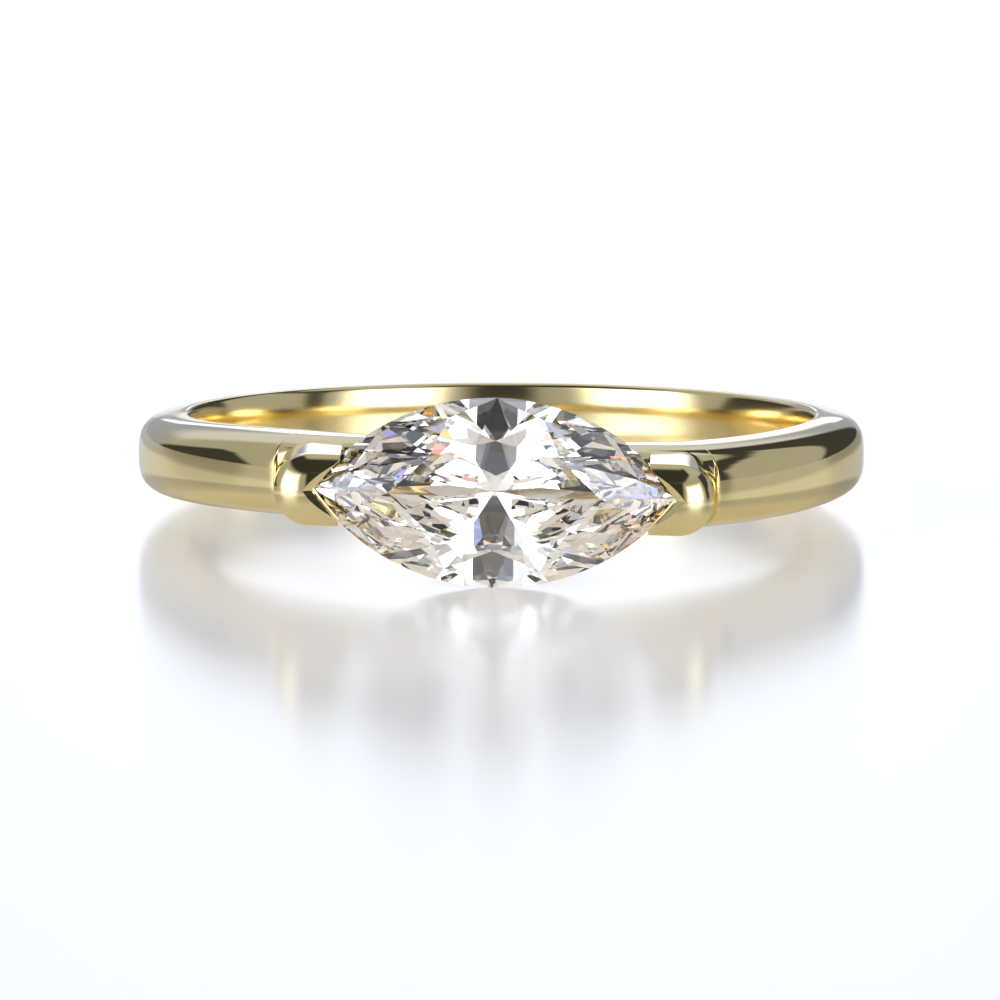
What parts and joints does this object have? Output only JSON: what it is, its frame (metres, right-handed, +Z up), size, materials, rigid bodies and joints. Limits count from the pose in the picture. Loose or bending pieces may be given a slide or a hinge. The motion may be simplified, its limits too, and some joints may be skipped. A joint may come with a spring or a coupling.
{
  "type": "marquise ring",
  "caption": "Slender polished gold finger ring with a marquise-cut clear stone set across the finger between round-ended cups.",
  "frame": {"origin": "on the surface that the ring lies on, under the middle of its outer box", "axes": "+Z up from that surface, -Y towards the stone's side of the ring, +X along the stone towards its right tip, seen from the stone's side"},
  "size_m": [0.0202, 0.0221, 0.0052],
  "materials": {
    "gold": "mirror-polished pale yellow gold",
    "stone": "colourless cut and polished gemstone"
  },
  "bodies": {
    "root": {"band": "gold", "stone": "stone"}
  },
  "joints": []
}
